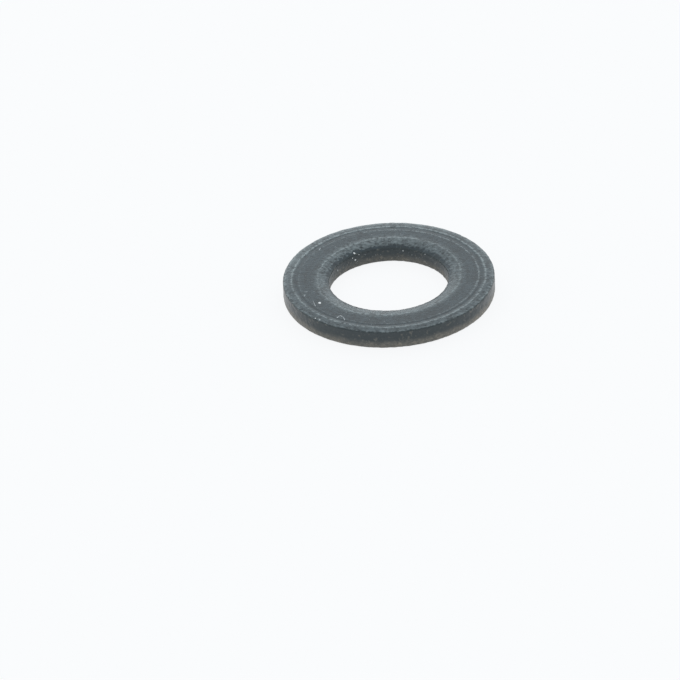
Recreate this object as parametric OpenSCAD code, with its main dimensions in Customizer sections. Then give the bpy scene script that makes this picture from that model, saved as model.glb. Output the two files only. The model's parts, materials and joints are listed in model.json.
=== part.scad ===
// Flat moulded ring washer, lying on its plain face with the rolled face up.
// Z is the bore axis, and the origin is on that axis at the bottom face. All sizes are millimetres.

/* [Ring] */
// Outside diameter of the ring
outer_d = 16; // [14:0.5:30]
// Diameter of the straight bore wall
bore_d = 9; // [4:0.5:11]
// Thickness from the bottom face to the top face
thickness = 1.5; // [1:0.1:5]

/* [Bore edges] */
// Radial width of the soft roll round the bore, on the top face
bore_roll_width = 1.25; // [0.7:0.05:2.2]
// How far the roll would fall from the top face to the bore wall
bore_roll_drop = 0.28; // [0.1:0.02:0.5]
// Radius of the lip between the roll and the bore wall
bore_lip_r = 0.2; // [0.05:0.05:0.4]
// Radius of the bore's edge on the bottom face
bore_foot_r = 0.25; // [0.1:0.05:0.8]

/* [Rim edges] */
// Radial width of the slight roll along the rim, on the top face
rim_roll_width = 0.7; // [0.4:0.05:0.75]
// How far the rim's roll would fall from the top face to the outer wall
rim_roll_drop = 0.07; // [0.02:0.01:0.2]
// Radius of the lip between the rim's roll and the outer wall
rim_lip_r = 0.1; // [0.05:0.05:0.3]
// Radius of the outer edge on the bottom face
rim_foot_r = 0.25; // [0.1:0.05:0.8]

/* [Groove] */
// Distance from the outer wall to the middle of the fine ring groove in the top face
groove_inset = 0.92; // [0.85:0.01:1.6]
// Width of the groove at the top face
groove_width = 0.3; // [0.1:0.02:0.5]
// Depth of the groove
groove_depth = 0.01; // [0.005:0.005:0.1]

/* [Hidden] */
$fn = 240;
bore_r = bore_d / 2;
outer_r = outer_d / 2;
rubber_black = [0.17, 0.18, 0.19];
// How far a cutting shape stands out past the wall or face that it cuts
cut_margin = 0.5;

// Radius of an arc that starts level and falls by drop over width
function arc_radius(width, drop) = (width * width + drop * drop) / (2 * drop);

// Waste outside a soft roll on a top corner. The corner is at the origin,
// with the face along +X and the wall down -Y. The roll is one long arc that
// leaves the face level, and a lip of smaller radius takes it into the wall.
module roll_waste(width, drop, lip_r) {
    roll_r = arc_radius(width, drop);
    lip_y = sqrt(pow(roll_r - lip_r, 2) - pow(width - lip_r, 2)) - roll_r;
    join_x = lip_r - lip_r * (width - lip_r) / (roll_r - lip_r);
    difference() {
        translate([-cut_margin, lip_y]) square([width + cut_margin, cut_margin - lip_y]);
        translate([lip_r, lip_y]) circle(lip_r);
        intersection() {
            translate([width, -roll_r]) circle(roll_r);
            translate([join_x, lip_y]) square([width - join_x, -lip_y]);
        }
    }
}

// Waste outside a plain round on a bottom corner, with the corner at the origin,
// the face along +X and the wall up +Y
module foot_waste(foot_r) {
    difference() {
        translate([-cut_margin, -cut_margin]) square(foot_r + cut_margin);
        translate([foot_r, foot_r]) circle(foot_r);
    }
}

// Waste in a shallow round-bottomed groove, centred on the origin in a face along X
module groove_waste(width, depth) {
    groove_r = arc_radius(width / 2, depth);
    translate([0, groove_r - depth]) circle(groove_r);
}

// Half of the ring's section, with the bore axis as Y
module section() {
    difference() {
        translate([bore_r, 0]) square([outer_r - bore_r, thickness]);
        translate([bore_r, thickness]) roll_waste(bore_roll_width, bore_roll_drop, bore_lip_r);
        translate([outer_r, thickness]) mirror([1, 0]) roll_waste(rim_roll_width, rim_roll_drop, rim_lip_r);
        translate([bore_r, 0]) foot_waste(bore_foot_r);
        translate([outer_r, 0]) mirror([1, 0]) foot_waste(rim_foot_r);
        translate([outer_r - groove_inset, thickness]) groove_waste(groove_width, groove_depth);
    }
}

// The whole washer, one moulded ring
module washer() {
    color(rubber_black) rotate_extrude() section();
}

washer();
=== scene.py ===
import json
import math
import random

import bmesh
import bpy
import numpy as np
from mathutils import Matrix, Vector, noise
from mathutils.bvhtree import BVHTree


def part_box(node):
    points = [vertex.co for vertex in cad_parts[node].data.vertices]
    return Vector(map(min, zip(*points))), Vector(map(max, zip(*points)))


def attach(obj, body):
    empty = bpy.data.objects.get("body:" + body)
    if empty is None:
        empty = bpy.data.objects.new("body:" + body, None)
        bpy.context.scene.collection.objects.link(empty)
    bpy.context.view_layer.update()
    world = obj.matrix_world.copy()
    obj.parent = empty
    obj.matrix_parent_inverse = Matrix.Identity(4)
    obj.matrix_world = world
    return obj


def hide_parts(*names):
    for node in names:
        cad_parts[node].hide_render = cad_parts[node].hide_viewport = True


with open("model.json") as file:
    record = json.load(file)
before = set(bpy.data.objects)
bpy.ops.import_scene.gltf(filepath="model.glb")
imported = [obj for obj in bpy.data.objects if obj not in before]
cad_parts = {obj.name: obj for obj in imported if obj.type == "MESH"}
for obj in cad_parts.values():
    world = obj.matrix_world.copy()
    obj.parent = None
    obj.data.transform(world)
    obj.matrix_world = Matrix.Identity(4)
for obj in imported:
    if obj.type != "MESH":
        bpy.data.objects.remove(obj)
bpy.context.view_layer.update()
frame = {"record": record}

# Units
MM = 0.001
PER_METRE = 1 / MM

# Sizes that the frame gives
washer_low, washer_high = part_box("washer")
OUTER_R = (washer_high.x - washer_low.x) / 2
THICKNESS = washer_high.z - washer_low.z
BORE_R = next(m["dims"]["r_mm"] * MM for m in frame["record"]["mounts"] if m["name"] == "bore")

# Section of the ring, the same as the solid's
BORE_ROLL_WIDTH = 1.25 * MM
BORE_ROLL_DROP = 0.28 * MM
BORE_LIP_R = 0.2 * MM
BORE_FOOT_R = 0.25 * MM
RIM_ROLL_WIDTH = 0.7 * MM
RIM_ROLL_DROP = 0.07 * MM
RIM_LIP_R = 0.1 * MM
RIM_FOOT_R = 0.25 * MM
GROOVE_INSET = 0.92 * MM
GROOVE_WIDTH = 0.3 * MM
GROOVE_DEPTH = 0.01 * MM

# Places along the section
FLAT_START_R = BORE_R + BORE_ROLL_WIDTH
GROOVE_R = OUTER_R - GROOVE_INSET
GROOVE_IN_R = GROOVE_R - GROOVE_WIDTH / 2
GROOVE_OUT_R = GROOVE_R + GROOVE_WIDTH / 2

# Fineness of the ring's mesh. Points of the section that are closer than SAME_POINT count as one.
RING_SEGMENTS = 720
ROLL_STEPS = 18
LIP_STEPS = 6
FOOT_STEPS = 7
WALL_STEPS = 14
FLAT_STEPS = 12
GROOVE_STEPS = 8
SAME_POINT = 0.001 * MM

# Unevenness of the moulded surface, in and out of the true section. The fade takes it off the flat faces.
UNEVEN_DEPTH = 0.018 * MM
UNEVEN_PER_MM = 3.0
UNEVEN_SMOOTHNESS = 1.0
UNEVEN_FINER_BY = 2.0
UNEVEN_LAYERS = 3
UNEVEN_FADE = 12

# Dust grains that show: place and size, by radius and turn on the top, by height and turn in the bore
TOP_SPECKS = [
    (6.29 * MM, 212.7, 0.23 * MM),
    (7.88 * MM, 224.0, 0.09 * MM),
    (7.84 * MM, 227.0, 0.08 * MM),
    (4.66 * MM, 122.2, 0.16 * MM),
]
BORE_SPECKS = [
    (0.77 * MM, 122.7, 0.15 * MM),
    (1.03 * MM, 125.9, 0.09 * MM),
    (1.13 * MM, 118.4, 0.07 * MM),
    (0.77 * MM, 147.7, 0.13 * MM),
    (1.05 * MM, 74.1, 0.08 * MM),
    (0.78 * MM, 65.2, 0.05 * MM),
    (1.15 * MM, 50.3, 0.07 * MM),
]

# Shape of a grain: its height as a share of its width, how lumpy it is and how fine its mesh is
SPECK_FLATNESS = 0.36
SPECK_LUMPINESS = 0.5
SPECK_LUMPS_ACROSS = 2
SPECK_FINENESS = 2

# Faint grains scattered over the rest
SCATTER_SEED = 8
TOP_SCATTER = 160
BORE_SCATTER = 140
SCATTER_SIZES = (0.02 * MM, 0.05 * MM)

# Short fibres on the top, as the width of each and the radius and turn along it
FIBRES = [
    (0.080 * MM, [
        (6.97 * MM, 234.3),
        (6.62 * MM, 234.9),
        (6.63 * MM, 236.6),
        (6.79 * MM, 238.7),
        (6.98 * MM, 240.0),
    ]),
    (0.060 * MM, [(6.71 * MM, 195.1), (6.55 * MM, 195.2), (6.40 * MM, 195.8)]),
    (0.045 * MM, [(6.71 * MM, 198.4), (6.79 * MM, 199.3), (6.90 * MM, 200.6)]),
    (0.040 * MM, [(6.52 * MM, 207.4), (6.63 * MM, 210.5), (6.81 * MM, 214.3)]),
    (0.050 * MM, [(6.83 * MM, 137.4), (6.68 * MM, 140.1)]),
]
FIBRE_FINENESS = 2

# Photograph's view: where the middle of the washer's underside falls in a square picture
PICTURE_SIDE = 680
WASHER_PIXEL = (389.4, 292.9)
FOCAL_PIXELS = 6000
SENSOR_WIDTH = 36
VIEW_DISTANCE = 453.6 * MM
VIEW_ELEVATION = math.radians(31.8)
VIEW_ROLL = math.radians(-3.0)
CLIP_RANGE = 10

# Studio
FLOOR_SIDE = 0.6
FLOOR_GAP = 0.005 * MM
COOL_WHITE = (0.94, 1.0, 1.02, 1.0)
FLOOR_ALBEDO = (0.9, 0.9, 0.9, 1.0)
FLOOR_GLOW = (0.979, 0.989, 1.0, 1.0)
SHADOW_SHARE = 0.1
BRIGHT_SIDE = (0.0, math.cos(math.radians(5)), math.sin(math.radians(5)))
LIGHT_BEHIND = 1.5
LIGHT_IN_FRONT = 0.6
LIGHT_FALL_OFF = 2.0

# Colours
# The top's two blacks are tinted blue as a painted cool reflection of the light from above and behind
TOP_BLACK_COOL_SHEEN = (0.006, 0.009, 0.012, 1.0)
TOP_GREY_COOL_SHEEN = (0.022, 0.035, 0.045, 1.0)
TOP_DUST = (0.235, 0.272, 0.282, 1.0)
WALL_BLACK = (0.038, 0.046, 0.049, 1.0)
WALL_DUST_AND_PALE = (0.285, 0.25, 0.21, 1.0)
SHEEN_TINT = (0.9, 1.0, 1.06, 1.0)
DUST_GREY = (0.82, 0.84, 0.85, 1.0)
DUST_WHITE = (0.95, 0.95, 0.95, 1.0)
LINT_DARK = (0.28, 0.31, 0.33, 1.0)
LINT_PALE = (0.66, 0.69, 0.71, 1.0)

# Noise on the rubber, in features per millimetre, and the three levels of detail that noise has
GRAIN_SCALE = 4.5
FLECK_SCALE = 3.6
FRAY_SCALE = 3.0
BORE_WANDER_SCALE = 1.6
MOTTLE_SCALE = 1.1
PATCH_SCALE = 0.25
LOW_DETAIL = 2.0
MIDDLE_DETAIL = 3.0
HIGH_DETAIL = 4.0

# Faint rings left by the mould: how many there are across the top, and how fast they change along the turn
RINGS_ACROSS = 22.0
RINGS_CHANGE = 0.15
BROAD_MOTTLE = 0.8
BROAD_RINGS = 0.6

# Where the surface is top and not wall, by how far up it faces, and where it is outside and not in the bore
UP_EDGE = (0.25, 0.9)
UP_FRAY = 0.7
OUTSIDE_EDGE = (0.4, 0.6)

# Side on which the whole top is rubbed most, with its reach, from start to full, in millimetres
WORN_SIDE = (-0.45, 0.9, 0.0)
WORN_SIDE_REACH = (2.0, 5.5)
WORN_SIDE_GAIN = 0.6

# Side on which the bore's roll gets a painted highlight on top of its wear. Its reach goes by direction
# alone, as a cosine.
FRONT_HIGHLIGHT = (-0.34, -0.94, 0.0)
FRONT_HIGHLIGHT_REACH = (0.6, 0.95)
FRONT_HIGHLIGHT_GAIN = 0.45

# Side where the groove's inner line holds most dust and the walls' feet are palest, with its reach in
# millimetres
DUSTY_AND_PALE_SIDE = (0.82, 0.57, 0.0)
DUSTY_AND_PALE_SIDE_REACH = (-4.0, 7.0)
DUSTY_AND_PALE_SIDE_GAIN = 0.5
INNER_LINE_BASE = 0.3

# Rings of wear that aren't quite true, with their centres and wander in millimetres
BORE_WEAR_CENTRE = (0.03, 0.02, 0.0)
BORE_WEAR_WANDER = 0.10
BORE_WEAR_LONG_WAY = math.radians(71)
BORE_WEAR_OVAL = 0.025
RIM_WEAR_CENTRE = (0.0, -0.06, 0.0)
RIM_WEAR_WANDER = 0.06

# Ragged lines where the wear ends, as shares of the way to the rim, and their fray in millimetres
BORE_END = (0.066, 0.098)
BORE_END_FRAY = 0.55
RIM_END = (1.0, 0.975)
RIM_END_FRAY = 0.25

# How much each noise varies the wear of the top
WEAR_BROAD = 0.5
WEAR_PATCHES = 0.5
WEAR_GRAIN = 2.3
RIM_WEAR_FRAY = 1.6

# A paler, browner band low on the walls, by height in millimetres, and flecks of dust all over them
LOW_PALE_EDGE = (0.85, 0.25)
LOW_PALE_FRAY = 0.3
LOW_PALE_IN_BORE = 0.30
LOW_PALE_EXTRA_OUTSIDE = 0.20
LOW_PALE_GRAIN = 1.2
FLECK_EDGE = (0.58, 0.70)
FLECK_DUST = 0.32

# Bloom on the clean top, tinted blue by a painted cool reflection, and where the surface is level enough to
# have them
BLOOM_AND_SHEEN_BASE = 0.42
BLOOM_AND_SHEEN_GRAIN = 1.3
BLOOM_AND_SHEEN_WORN_SIDE = 0.12
LEVEL_EDGE = (0.80, 0.93)
LEVEL_FRAY = 0.1

# Sheen of the rubber, with what wear and the walls add to its roughness, and its fine relief
SATIN = 0.2
WEAR_MATT = 0.2
BORE_WALL_MATT = 0.22
OUTER_WALL_MATT = 0.10
RUBBER_IOR = 1.5
CLEAN_RELIEF = 0.35
RELIEF_DEPTH = 0.03 * MM

# Dust and lint
DUST_SCALE = 3.0
DUST_EDGE = (0.35, 0.65)
DUST_ROUGHNESS = 0.9

# Sockets of a Mix node that blend colours: the share and both colours, and the result
MIX_INPUTS = (0, 6, 7)
MIX_RESULT = 2

ORIGIN = (0.0, 0.0, 0.0)


def arc(centre, radius, start, end, steps):
    """Points along an arc of the section, between two angles in degrees."""
    angles = np.radians(np.linspace(start, end, steps + 1))
    return [(centre[0] + radius * math.cos(a), centre[1] + radius * math.sin(a)) for a in angles]


def run(start, end, steps):
    """Points along a straight stretch of the section."""
    shares = np.linspace(0, 1, steps + 1)
    return [(start[0] + s * (end[0] - start[0]), start[1] + s * (end[1] - start[1])) for s in shares]


def arc_radius(width, drop):
    """Radius of an arc that starts level and falls by drop over width."""
    return (width * width + drop * drop) / (2 * drop)


def rolled_edge(wall_r, inward, width, drop, lip_r):
    """Points from the top face to the wall: a long roll, then a lip.

    inward is 1 at the bore and -1 at the rim.
    """
    roll_r = arc_radius(width, drop)
    lip_fall = roll_r - math.sqrt((roll_r - lip_r) ** 2 - (width - lip_r) ** 2)
    join = math.degrees(math.atan2(roll_r - lip_fall, lip_r - width))
    roll = arc((width, -roll_r), roll_r, 90, join, ROLL_STEPS)
    lip = arc((lip_r, -lip_fall), lip_r, join, 180, LIP_STEPS)
    return [(wall_r + inward * x, THICKNESS + y) for x, y in roll + lip]


def ring_groove():
    """Points across the fine groove, from its outer lip to its inner one."""
    radius = arc_radius(GROOVE_WIDTH / 2, GROOVE_DEPTH)
    half_turn = math.degrees(math.asin(GROOVE_WIDTH / 2 / radius))
    centre = (GROOVE_R, THICKNESS - GROOVE_DEPTH + radius)
    return arc(centre, radius, half_turn - 90, -half_turn - 90, GROOVE_STEPS)


def ring_section():
    """The ring's closed section as (radius, height) points, with no point twice."""
    bore_edge = rolled_edge(BORE_R, 1, BORE_ROLL_WIDTH, BORE_ROLL_DROP, BORE_LIP_R)
    rim_edge = rolled_edge(OUTER_R, -1, RIM_ROLL_WIDTH, RIM_ROLL_DROP, RIM_LIP_R)[::-1]
    groove = ring_groove()
    stretches = [
        run((BORE_R + BORE_FOOT_R, 0), (OUTER_R - RIM_FOOT_R, 0), FLAT_STEPS),
        arc((OUTER_R - RIM_FOOT_R, RIM_FOOT_R), RIM_FOOT_R, -90, 0, FOOT_STEPS),
        run((OUTER_R, RIM_FOOT_R), rim_edge[0], WALL_STEPS),
        rim_edge,
        groove,
        run(groove[-1], bore_edge[0], FLAT_STEPS),
        bore_edge,
        run(bore_edge[-1], (BORE_R, BORE_FOOT_R), WALL_STEPS),
        arc((BORE_R + BORE_FOOT_R, BORE_FOOT_R), BORE_FOOT_R, 180, 270, FOOT_STEPS),
    ]
    section = []
    for point in (p for stretch in stretches for p in stretch):
        if not section or math.dist(point, section[-1]) > SAME_POINT:
            section.append(point)
    return np.array(section[:-1])


def section_normals(section):
    """Outward direction at each point of a section that runs anticlockwise."""
    along = np.roll(section, -1, axis=0) - np.roll(section, 1, axis=0)
    along /= np.linalg.norm(along, axis=1)[:, None]
    return np.stack([along[:, 1], -along[:, 0]], axis=1)


def unevenness(place):
    """How far the moulded surface is sunk in at a place, as a share from -1 to 1."""
    spot = place * PER_METRE * UNEVEN_PER_MM
    level = noise.fractal(spot, UNEVEN_SMOOTHNESS, UNEVEN_FINER_BY, UNEVEN_LAYERS)
    return min(max(level, -1.0), 1.0)


def ring_faces(rows):
    """Faces between the turned copies of a section of so many points, as corner numbers."""
    corner = np.arange(RING_SEGMENTS * rows).reshape(RING_SEGMENTS, rows)
    after = np.roll(corner, -1, axis=0)
    faces = np.stack([corner, after, np.roll(after, -1, axis=1), np.roll(corner, -1, axis=1)], axis=-1)
    return faces.reshape(-1, 4).tolist()


def make_ring():
    """The washer's ring, turned from its section and left a little uneven off the flat faces, as moulded."""
    section = ring_section()
    normals = section_normals(section)
    looseness = 1 - np.abs(normals[:, 1]) ** UNEVEN_FADE
    points = []
    for turn in np.linspace(0, 2 * math.pi, RING_SEGMENTS, endpoint=False):
        out = Vector((math.cos(turn), math.sin(turn), 0))
        for (radius, height), (normal_r, normal_z), loose in zip(section, normals, looseness):
            place = out * radius + Vector((0, 0, height))
            depth = UNEVEN_DEPTH * loose * unevenness(place)
            points.append(place - (out * normal_r + Vector((0, 0, normal_z))) * depth)
    faces = ring_faces(len(section))
    mesh = bpy.data.meshes.new("washer_ring")
    mesh.from_pydata(points, [], faces)
    return link_piece(mesh), BVHTree.FromPolygons(points, faces)


def link_piece(mesh):
    """An object for a finished mesh, named as the mesh is."""
    mesh.shade_smooth()
    piece = bpy.data.objects.new(mesh.name, mesh)
    bpy.context.collection.objects.link(piece)
    return piece


def spot_on_top(skin, radius, turn):
    """The place and outward direction of the ring's skin on the top, with the turn in degrees."""
    angle = math.radians(turn)
    above = Vector((radius * math.cos(angle), radius * math.sin(angle), 2 * THICKNESS))
    return skin.ray_cast(above, Vector((0, 0, -1)))[:2]


def spot_in_bore(skin, height, turn):
    """The place and outward direction of the ring's skin in the bore, with the turn in degrees."""
    angle = math.radians(turn)
    return skin.ray_cast(Vector((0, 0, height)), Vector((math.cos(angle), math.sin(angle), 0)))[:2]


def add_speck(shape, spot, size, seed):
    """One lumpy grain of dust, a little flat and half sunk into the skin at its spot."""
    place, outward = spot
    turned = outward.to_track_quat("Z", "Y")
    ball = bmesh.ops.create_icosphere(shape, subdivisions=SPECK_FINENESS, radius=size / 2)
    for vert in ball["verts"]:
        lump = noise.noise(vert.co / size * SPECK_LUMPS_ACROSS + Vector((seed, 0, 0)))
        flat = Vector((vert.co.x, vert.co.y, SPECK_FLATNESS * vert.co.z))
        vert.co = place + turned @ (flat * (1 + SPECK_LUMPINESS * lump))


def make_dust(name, spots):
    """A piece of many grains, each at its (place and outward direction, size)."""
    shape = bmesh.new()
    for seed, (spot, size) in enumerate(spots):
        add_speck(shape, spot, size, seed)
    mesh = bpy.data.meshes.new(name)
    shape.to_mesh(mesh)
    shape.free()
    return link_piece(mesh)


def make_specks(skin):
    """The pale grains that show."""
    spots = [(spot_on_top(skin, radius, turn), size) for radius, turn, size in TOP_SPECKS]
    spots += [(spot_in_bore(skin, height, turn), size) for height, turn, size in BORE_SPECKS]
    return make_dust("dust_specks", spots)


def make_scatter(skin):
    """Faint grains scattered over the top and the bore."""
    draw = random.Random(SCATTER_SEED)
    spots = []
    for _ in range(TOP_SCATTER):
        radius = draw.uniform(BORE_R + BORE_LIP_R, OUTER_R - RIM_LIP_R)
        spots.append((spot_on_top(skin, radius, draw.uniform(0, 360)), draw.uniform(*SCATTER_SIZES)))
    for _ in range(BORE_SCATTER):
        height = draw.uniform(BORE_FOOT_R, THICKNESS - BORE_ROLL_DROP)
        spots.append((spot_in_bore(skin, height, draw.uniform(0, 360)), draw.uniform(*SCATTER_SIZES)))
    return make_dust("faint_dust", spots)


def make_fibres(skin):
    """Short bent fibres, half sunk into the top.

    The curve's bevel depth of 1 leaves their widths to the radius of their points.
    """
    curve = bpy.data.curves.new("lint_fibres", "CURVE")
    curve.dimensions = "3D"
    curve.bevel_depth = 1.0
    curve.bevel_resolution = FIBRE_FINENESS
    curve.use_fill_caps = True
    for width, path in FIBRES:
        spline = curve.splines.new("BEZIER")
        spline.bezier_points.add(len(path) - 1)
        for point, (radius, turn) in zip(spline.bezier_points, path):
            point.co, _ = spot_on_top(skin, radius, turn)
            point.radius = width / 2
            point.handle_left_type = "AUTO"
            point.handle_right_type = "AUTO"
    fibres = bpy.data.objects.new("lint_fibres", curve)
    bpy.context.collection.objects.link(fibres)
    return fibres


class NodeTree:
    """Short calls for wiring one node tree."""

    def __init__(self, tree):
        self.tree = tree
        tree.nodes.clear()

    def add(self, kind, inputs=None, **settings):
        """A node with its settings, and with each named input linked or set."""
        node = self.tree.nodes.new(kind)
        for name, value in settings.items():
            setattr(node, name, value)
        for name, value in (inputs or {}).items():
            self.feed(node.inputs[name], value)
        return node

    def feed(self, socket, value):
        """Links an output to a socket, or sets the socket to a constant."""
        if isinstance(value, bpy.types.NodeSocket):
            self.tree.links.new(value, socket)
        else:
            socket.default_value = value

    def math(self, operation, first, second, clamp=False):
        """One arithmetic step."""
        node = self.add("ShaderNodeMath", {0: first, 1: second}, operation=operation, use_clamp=clamp)
        return node.outputs[0]

    def total(self, first, *others):
        """The sum of some values."""
        for other in others:
            first = self.math("ADD", first, other)
        return first

    def product(self, first, *others):
        """Some values multiplied together."""
        for other in others:
            first = self.math("MULTIPLY", first, other)
        return first

    def rise(self, share, base, amount):
        """A value of base where the share is 0, and of base plus amount where it is 1."""
        return self.total(self.product(share, amount), base)

    def vector(self, operation, first, second, result="Vector"):
        """One step of vector arithmetic."""
        node = self.add("ShaderNodeVectorMath", {0: first, 1: second}, operation=operation)
        return node.outputs[result]

    def spread(self, value, amount):
        """A value from 0 to 1 turned into one of about amount either side of 0."""
        return self.product(self.math("SUBTRACT", value, 0.5), 2 * amount)

    def step(self, value, start, end):
        """A smooth rise from 0 to 1 between start and end."""
        inputs = {"Value": value, "From Min": start, "From Max": end}
        return self.add("ShaderNodeMapRange", inputs, interpolation_type="SMOOTHSTEP").outputs["Result"]

    def noise(self, place, scale, detail):
        """Soft noise from 0 to 1."""
        inputs = {"Vector": place, "Scale": scale, "Detail": detail}
        return self.add("ShaderNodeTexNoise", inputs).outputs["Fac"]

    def mix(self, share, first, second):
        """A blend of two colours."""
        node = self.add("ShaderNodeMix", data_type="RGBA")
        for number, value in zip(MIX_INPUTS, (share, first, second)):
            self.feed(node.inputs[number], value)
        return node.outputs[MIX_RESULT]

    def ramp(self, value, stops):
        """A curve through (place, level) stops."""
        node = self.add("ShaderNodeValToRGB", {"Fac": value})
        elements = node.color_ramp.elements
        while len(elements) < len(stops):
            elements.new(1.0)
        for element, (place, level) in zip(elements, stops):
            element.position = place
            element.color = (level, level, level, 1.0)
        return node.outputs["Color"]


def new_material(name):
    """A material, and its empty node tree."""
    material = bpy.data.materials.new(name)
    material.use_nodes = True
    return material, NodeTree(material.node_tree)


def finish_surface(tree, inputs):
    """Ends a material's tree with a surface shader that has these inputs."""
    shader = tree.add("ShaderNodeBsdfPrincipled", inputs)
    tree.add("ShaderNodeOutputMaterial", {"Surface": shader.outputs["BSDF"]})


def in_millimetres(tree, coordinates):
    """A place on a piece, in millimetres."""
    return tree.vector("MULTIPLY", coordinates["Object"], (PER_METRE,) * 3)


def ring_stops(levels):
    """(radius, level) pairs as stops on the way from the bore, at 0, to the rim, at 1."""
    return [((radius - BORE_R) / (OUTER_R - BORE_R), level) for radius, level in levels]


def bore_wear():
    """How rubbed and dusty the roll round the bore is, with a thin pale line where it meets the flat."""
    return ring_stops([
        (BORE_R + 0.10 * MM, 0.12),
        (BORE_R + 0.30 * MM, 0.21),
        (BORE_R + 0.60 * MM, 0.21),
        (FLAT_START_R - 0.33 * MM, 0.18),
        (FLAT_START_R - 0.23 * MM, 0.44),
        (FLAT_START_R - 0.12 * MM, 0.15),
        (FLAT_START_R + 0.05 * MM, 0.06),
        (FLAT_START_R + 0.28 * MM, 0.0),
    ])


def rim_wear():
    """How rubbed and dusty the rim is, with a thin pale line outside the groove and a pale outer edge."""
    return ring_stops([
        (GROOVE_IN_R - 0.30 * MM, 0.02),
        (GROOVE_IN_R - 0.10 * MM, 0.04),
        (GROOVE_R - 0.05 * MM, 0.0),
        (GROOVE_R + 0.06 * MM, 0.03),
        (GROOVE_OUT_R + 0.01 * MM, 0.15),
        (GROOVE_OUT_R + 0.11 * MM, 0.62),
        (GROOVE_OUT_R + 0.21 * MM, 0.14),
        (GROOVE_OUT_R + 0.40 * MM, 0.12),
        (OUTER_R - 0.25 * MM, 0.21),
        (OUTER_R - 0.12 * MM, 0.38),
        (OUTER_R, 0.46),
    ])


def inner_line():
    """A thin pale line along the inside of the groove."""
    return ring_stops([
        (GROOVE_IN_R - 0.22 * MM, 0.0),
        (GROOVE_IN_R - 0.12 * MM, 0.30),
        (GROOVE_IN_R - 0.02 * MM, 0.0),
    ])


def ring_share(tree, place, centre=ORIGIN, wander=0.0, long_way=0.0, oval=0.0):
    """How far a place is from the bore, at 0, to the rim, at 1, on rings round a centre that wander a little.

    Where oval isn't 0, the rings are longer by that share along the direction long_way, an angle,
    and shorter across it.
    """
    apart = tree.vector("SUBTRACT", place, centre)
    turned = tree.add("ShaderNodeVectorRotate", {"Vector": apart, "Angle": -long_way}, rotation_type="Z_AXIS")
    across = tree.vector("MULTIPLY", turned.outputs["Vector"], (1.0 - oval, 1.0 + oval, 0.0))
    radius = tree.total(tree.vector("LENGTH", across, ORIGIN, "Value"), wander)
    inputs = {"Value": radius, "From Min": BORE_R * PER_METRE, "From Max": OUTER_R * PER_METRE}
    return tree.add("ShaderNodeMapRange", inputs).outputs["Result"]


def on_side(tree, place, side, reach):
    """A smooth rise from 0 to 1 along the direction of a side, over its reach."""
    return tree.step(tree.vector("DOT_PRODUCT", place, side, "Value"), *reach)


def mould_rings(tree, place, from_bore):
    """Noise in faint rings that change slowly along the turn."""
    across = tree.add("ShaderNodeCombineXYZ", {"X": tree.product(from_bore, RINGS_ACROSS)})
    along = tree.vector("MULTIPLY", place, (RINGS_CHANGE,) * 3)
    return tree.noise(tree.vector("ADD", across.outputs["Vector"], along), 1.0, LOW_DETAIL)


class RubberSpot:
    """What the looks of a spot of rubber depend on: where it is, how it faces and the noise there."""

    def __init__(self, tree):
        coordinates = tree.add("ShaderNodeTexCoord").outputs
        self.place = in_millimetres(tree, coordinates)
        self.height = tree.add("ShaderNodeSeparateXYZ", {0: self.place}).outputs["Z"]
        self.upright = tree.add("ShaderNodeSeparateXYZ", {0: coordinates["Normal"]}).outputs["Z"]
        self.grain = tree.noise(self.place, GRAIN_SCALE, HIGH_DETAIL)
        self.frayed = tree.noise(self.place, FRAY_SCALE, MIDDLE_DETAIL)
        self.mottle = tree.noise(self.place, MOTTLE_SCALE, MIDDLE_DETAIL)
        from_bore = ring_share(tree, self.place)
        rings = mould_rings(tree, self.place, from_bore)
        self.broad = tree.total(tree.spread(self.mottle, BROAD_MOTTLE), tree.spread(rings, BROAD_RINGS))
        self.outside = tree.step(from_bore, *OUTSIDE_EDGE)
        self.facing_up = tree.step(tree.total(self.upright, tree.spread(self.grain, UP_FRAY)), *UP_EDGE)
        self.on_wall = tree.math("SUBTRACT", 1.0, self.facing_up)
        self.worn_side = on_side(tree, self.place, WORN_SIDE, WORN_SIDE_REACH)
        self.dusty_and_pale_side = on_side(tree, self.place, DUSTY_AND_PALE_SIDE, DUSTY_AND_PALE_SIDE_REACH)


def bore_rub_and_highlight(tree, spot):
    """Wear of the bore's roll, on rings that are a little oval, with a painted highlight that makes it paler
    in front.
    """
    wander = tree.spread(tree.noise(spot.place, BORE_WANDER_SCALE, MIDDLE_DETAIL), BORE_WEAR_WANDER)
    rings = ring_share(tree, spot.place, BORE_WEAR_CENTRE, wander, BORE_WEAR_LONG_WAY, BORE_WEAR_OVAL)
    away = tree.vector("NORMALIZE", spot.place, ORIGIN)
    # Painted highlight: the front of the roll is made paler on top of its wear
    front_highlight = on_side(tree, away, FRONT_HIGHLIGHT, FRONT_HIGHLIGHT_REACH)
    return tree.product(tree.ramp(rings, bore_wear()), tree.rise(front_highlight, 1.0, FRONT_HIGHLIGHT_GAIN))


def ring_rub_and_highlight(tree, spot):
    """Wear in rings, heavier on one side: of the bore's roll, with its painted highlight in front, along the
    rim and inside the groove.
    """
    near_rim = ring_share(tree, spot.place, RIM_WEAR_CENTRE, tree.spread(spot.mottle, RIM_WEAR_WANDER))
    edges = tree.total(bore_rub_and_highlight(tree, spot), tree.ramp(near_rim, rim_wear()))
    edges = tree.product(edges, tree.rise(spot.worn_side, 1.0, WORN_SIDE_GAIN))
    line = tree.product(tree.ramp(near_rim, inner_line()), tree.total(spot.dusty_and_pale_side, INNER_LINE_BASE))
    return tree.total(edges, line)


def between_ends(tree, spot):
    """1 on the top, and 0 past the ragged lines along the bore and the rim where its wear ends."""
    past_bore = ring_share(tree, spot.place, wander=tree.spread(spot.frayed, BORE_END_FRAY))
    before_rim = ring_share(tree, spot.place, wander=tree.spread(spot.frayed, RIM_END_FRAY))
    return tree.product(tree.step(past_bore, *BORE_END), tree.step(before_rim, *RIM_END))


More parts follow.
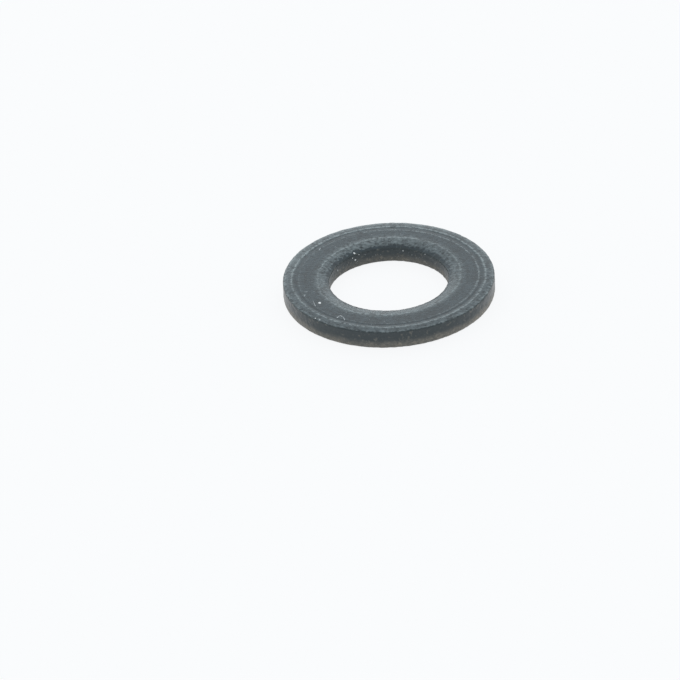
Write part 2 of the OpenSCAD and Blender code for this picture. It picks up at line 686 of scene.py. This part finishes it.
def wear_texture(tree, spot):
    """How the wear of the top varies about 1 from spot to spot, most of all along the rim."""
    patches = tree.noise(spot.place, PATCH_SCALE, LOW_DETAIL)
    coarse = tree.total(tree.product(spot.broad, WEAR_BROAD), tree.spread(patches, WEAR_PATCHES))
    rim_fray = tree.product(spot.outside, tree.spread(spot.frayed, RIM_WEAR_FRAY))
    texture = tree.total(coarse, tree.spread(spot.grain, WEAR_GRAIN), 1.0, rim_fray)
    return tree.math("MAXIMUM", texture, 0.0)


def top_wear_and_highlight(tree, spot):
    """How rubbed and dusty the top is, with a painted highlight on the front of the bore's roll."""
    smooth_wear_and_highlight = tree.product(ring_rub_and_highlight(tree, spot), spot.facing_up, between_ends(tree, spot))
    return tree.product(smooth_wear_and_highlight, wear_texture(tree, spot))


def wall_flecks_and_pale_foot(tree, spot):
    """Paler, browner lower halves of both walls, more so outside and on one side, and flecks of dust all over
    them.
    """
    low_down = tree.step(tree.total(spot.height, tree.spread(spot.mottle, LOW_PALE_FRAY)), *LOW_PALE_EDGE)
    amount = tree.rise(spot.outside, LOW_PALE_IN_BORE, LOW_PALE_EXTRA_OUTSIDE)
    grainy = tree.total(tree.spread(spot.grain, LOW_PALE_GRAIN), 1.0)
    low_pale = tree.product(low_down, amount, grainy, tree.rise(spot.dusty_and_pale_side, 1.0, DUSTY_AND_PALE_SIDE_GAIN))
    flecks = tree.step(tree.noise(spot.place, FLECK_SCALE, LOW_DETAIL), *FLECK_EDGE)
    return tree.product(spot.on_wall, tree.total(low_pale, tree.product(flecks, FLECK_DUST)))


def rubber_colour(tree, spot, wear_and_highlight):
    """Black, mottled and tinted blue on the top by a painted cool reflection, plain black on the walls, and
    paler where worn, dusty, under the painted highlight and low on the walls.
    """
    # The top's mottled tint between its two blacks is partly bloom and partly a painted cool reflection
    bloom_and_cool_sheen = tree.total(tree.spread(spot.grain, BLOOM_AND_SHEEN_GRAIN), spot.broad, BLOOM_AND_SHEEN_BASE)
    bloom_and_cool_sheen = tree.math("ADD", bloom_and_cool_sheen, tree.product(spot.worn_side, BLOOM_AND_SHEEN_WORN_SIDE), clamp=True)
    level = tree.step(tree.total(spot.upright, tree.spread(spot.grain, LEVEL_FRAY)), *LEVEL_EDGE)
    clean = tree.mix(level, WALL_BLACK, tree.mix(bloom_and_cool_sheen, TOP_BLACK_COOL_SHEEN, TOP_GREY_COOL_SHEEN))
    # Dust colour on the top; on the walls the same colour gives the dust flecks and the paler lower band
    dust = tree.mix(spot.facing_up, WALL_DUST_AND_PALE, TOP_DUST)
    return tree.mix(wear_and_highlight, clean, dust)


def rubber_roughness(tree, spot, wear_and_highlight):
    """Satin, and rougher where it is worn, under the painted highlight and on the walls, most of all in the
    bore.
    """
    wall_matt = tree.rise(spot.outside, BORE_WALL_MATT, OUTER_WALL_MATT - BORE_WALL_MATT)
    return tree.total(tree.product(wear_and_highlight, WEAR_MATT), tree.product(spot.on_wall, wall_matt), SATIN)


def rubber_relief(tree, spot, wear_and_highlight):
    """The fine grain as a bump, deeper where the rubber is worn and under the painted highlight."""
    relief = tree.product(spot.grain, tree.total(wear_and_highlight, CLEAN_RELIEF))
    inputs = {"Height": relief, "Strength": 1.0, "Distance": RELIEF_DEPTH}
    return tree.add("ShaderNodeBump", inputs).outputs["Normal"]


def black_rubber():
    """Black moulded rubber: a mottled top tinted blue by a painted cool reflection, pale rubbed edges, a
    painted highlight in front of the bore and paler lower walls.
    """
    material, tree = new_material("black_rubber")
    spot = RubberSpot(tree)
    # Wear and dust on the top, the painted highlight in front of the bore, and the paler lower walls with
    # their dust flecks
    wear_and_highlight = tree.math("ADD", top_wear_and_highlight(tree, spot), wall_flecks_and_pale_foot(tree, spot), clamp=True)
    finish_surface(tree, {
        "Base Color": rubber_colour(tree, spot, wear_and_highlight),
        "Roughness": rubber_roughness(tree, spot, wear_and_highlight),
        "Normal": rubber_relief(tree, spot, wear_and_highlight),
        "IOR": RUBBER_IOR,
        "Specular Tint": SHEEN_TINT,
    })
    return material


def matt_dust(name, dark, pale):
    """Matt dust or lint, paler in some places than in others."""
    material, tree = new_material(name)
    place = in_millimetres(tree, tree.add("ShaderNodeTexCoord").outputs)
    colour = tree.mix(tree.step(tree.noise(place, DUST_SCALE, MIDDLE_DETAIL), *DUST_EDGE), dark, pale)
    finish_surface(tree, {"Base Color": colour, "Roughness": DUST_ROUGHNESS})
    return material


def seen_directly(tree):
    """1 for rays from the camera, from a mirror-like surface or through glass, and 0 for the rest."""
    path = tree.add("ShaderNodeLightPath").outputs
    mirrored = tree.math("MAXIMUM", path["Is Glossy Ray"], path["Is Transmission Ray"])
    return tree.math("MAXIMUM", path["Is Camera Ray"], mirrored)


def floor_white():
    """White that looks white, takes a faint shadow and throws light back up."""
    material, tree = new_material("floor_white")
    matt = tree.add("ShaderNodeBsdfDiffuse", {"Color": FLOOR_ALBEDO}).outputs["BSDF"]
    glow = tree.add("ShaderNodeEmission", {"Color": FLOOR_GLOW, "Strength": 1.0}).outputs["Emission"]
    share = tree.product(seen_directly(tree), 1 - SHADOW_SHARE)
    surface = tree.add("ShaderNodeMixShader", {0: share, 1: matt, 2: glow}).outputs["Shader"]
    tree.add("ShaderNodeOutputMaterial", {"Surface": surface})
    return material


def make_floor():
    """A plain white floor, just under the washer."""
    half = FLOOR_SIDE / 2
    corners = [(-half, -half), (half, -half), (half, half), (-half, half)]
    mesh = bpy.data.meshes.new("floor")
    mesh.from_pydata([(x, y, -FLOOR_GAP) for x, y in corners], [], [(0, 1, 2, 3)])
    mesh.materials.append(floor_white())
    floor = bpy.data.objects.new("floor", mesh)
    bpy.context.collection.objects.link(floor)


def make_world():
    """Soft white light from all round, brighter from behind the washer than from the camera's side."""
    world = bpy.data.worlds.new("light_tent")
    world.use_nodes = True
    tree = NodeTree(world.node_tree)
    direction = tree.add("ShaderNodeTexCoord").outputs["Generated"]
    towards = tree.vector("DOT_PRODUCT", direction, BRIGHT_SIDE, "Value")
    share = tree.math("POWER", tree.product(tree.total(towards, 1.0), 0.5), LIGHT_FALL_OFF)
    strength = tree.rise(share, LIGHT_IN_FRONT, LIGHT_BEHIND - LIGHT_IN_FRONT)
    light = tree.add("ShaderNodeBackground", {"Color": COOL_WHITE, "Strength": strength})
    tree.add("ShaderNodeOutputWorld", {"Surface": light.outputs["Background"]})
    bpy.context.scene.world = world


def make_camera():
    """The photograph's view: the camera's axes, then its place from where the washer falls in the picture."""
    back = Vector((0, -math.cos(VIEW_ELEVATION), math.sin(VIEW_ELEVATION)))
    level_right = Vector((1, 0, 0))
    level_up = back.cross(level_right)
    right = math.cos(VIEW_ROLL) * level_right + math.sin(VIEW_ROLL) * level_up
    up = back.cross(right)
    offset_right = (WASHER_PIXEL[0] - PICTURE_SIDE / 2) / FOCAL_PIXELS
    offset_up = (PICTURE_SIDE / 2 - WASHER_PIXEL[1]) / FOCAL_PIXELS
    to_washer = (right * offset_right + up * offset_up - back).normalized() * VIEW_DISTANCE
    data = bpy.data.cameras.new("camera")
    data.sensor_width = SENSOR_WIDTH
    data.lens = FOCAL_PIXELS * SENSOR_WIDTH / PICTURE_SIDE
    data.clip_start = VIEW_DISTANCE / CLIP_RANGE
    data.clip_end = VIEW_DISTANCE * CLIP_RANGE
    camera = bpy.data.objects.new("camera", data)
    bpy.context.collection.objects.link(camera)
    axes = Matrix((right, up, back)).transposed().to_4x4()
    camera.matrix_world = Matrix.Translation(-to_washer) @ axes
    bpy.context.scene.camera = camera


make_camera()
make_world()
make_floor()
bpy.context.scene.view_settings.view_transform = "Standard"

ring, skin = make_ring()
ring.data.materials.append(black_rubber())
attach(ring, "root")
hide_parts("washer")

white_dust = matt_dust("white_dust", DUST_GREY, DUST_WHITE)
grey_lint = matt_dust("grey_lint", LINT_DARK, LINT_PALE)
dirt = [(make_specks(skin), white_dust), (make_scatter(skin), grey_lint), (make_fibres(skin), grey_lint)]
for piece, material in dirt:
    piece.data.materials.append(material)
    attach(piece, "root")
